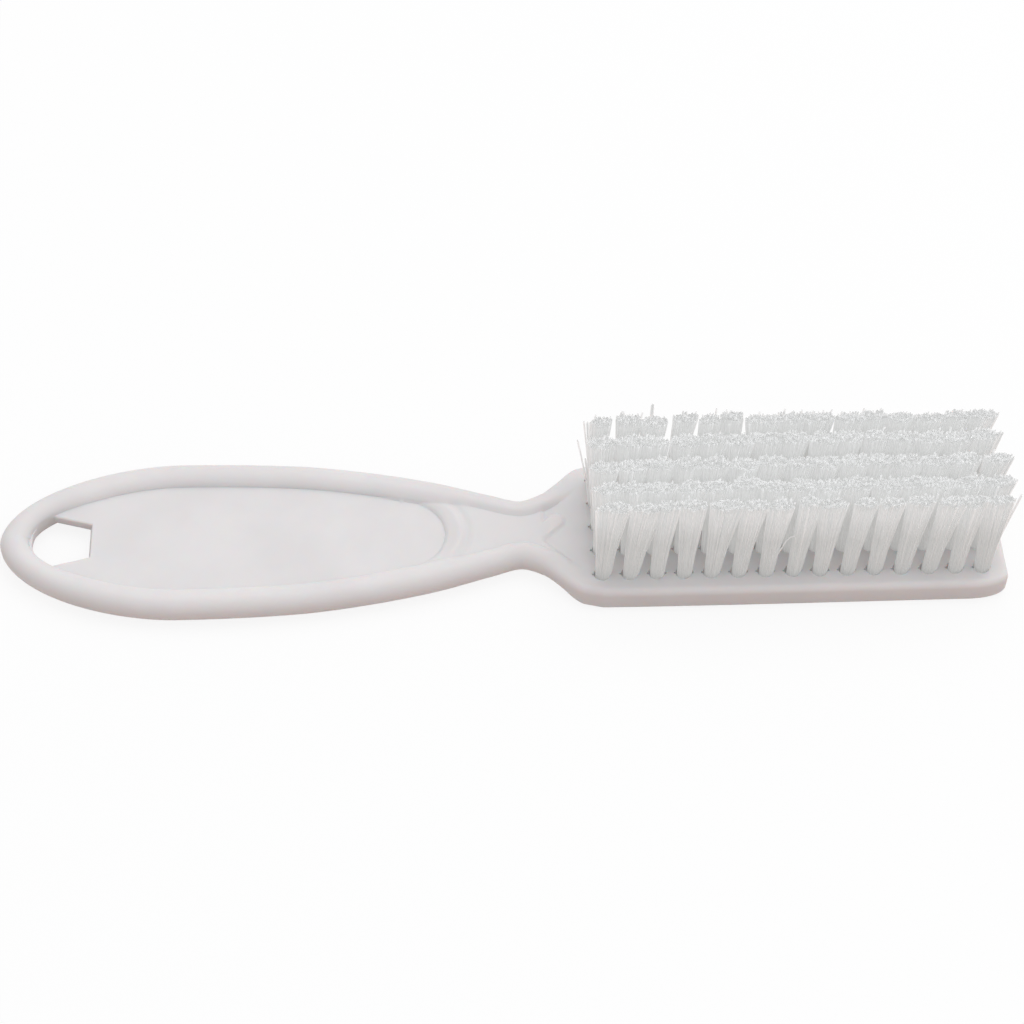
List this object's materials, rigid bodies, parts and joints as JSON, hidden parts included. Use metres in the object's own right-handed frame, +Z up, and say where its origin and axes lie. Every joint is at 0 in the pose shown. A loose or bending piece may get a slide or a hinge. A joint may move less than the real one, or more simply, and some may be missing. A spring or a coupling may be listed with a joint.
{
  "type": "nail brush",
  "caption": "Long-handled white nail brush: one moulded body with a rimmed handle and hang hole, and a rectangular head of staple-set upright nylon tufts.",
  "frame": {"origin": "on the table plane under the middle of the head's flat back, which is the rest_face mount", "axes": "+X along the brush from the handle to the head, +Z up from the back towards the bristle tips, +Y to the left of the handle seen from above"},
  "size_m": [0.1746, 0.0334, 0.0215],
  "materials": {
    "body_plastic": "white moulded polypropylene, satin",
    "bristle_nylon": "milky translucent nylon filament, slightly glossy",
    "anchor_wire": "plated flat wire, hidden in the tuft holes"
  },
  "bodies": {
    "root": {"brush_body": "body_plastic", "tuft_column_01": "bristle_nylon", "tuft_column_02": "bristle_nylon", "tuft_column_03": "bristle_nylon", "tuft_column_04": "bristle_nylon", "tuft_column_05": "bristle_nylon", "tuft_column_06": "bristle_nylon", "tuft_column_07": "bristle_nylon", "tuft_column_08": "bristle_nylon", "tuft_column_09": "bristle_nylon", "tuft_column_10": "bristle_nylon", "tuft_column_11": "bristle_nylon", "tuft_column_12": "bristle_nylon", "tuft_column_13": "bristle_nylon", "tuft_column_14": "bristle_nylon", "tuft_column_15": "bristle_nylon", "anchor_column_01": "anchor_wire", "anchor_column_02": "anchor_wire", "anchor_column_03": "anchor_wire", "anchor_column_04": "anchor_wire", "anchor_column_05": "anchor_wire", "anchor_column_06": "anchor_wire", "anchor_column_07": "anchor_wire", "anchor_column_08": "anchor_wire", "anchor_column_09": "anchor_wire", "anchor_column_10": "anchor_wire", "anchor_column_11": "anchor_wire", "anchor_column_12": "anchor_wire", "anchor_column_13": "anchor_wire", "anchor_column_14": "anchor_wire", "anchor_column_15": "anchor_wire"}
  },
  "joints": []
}
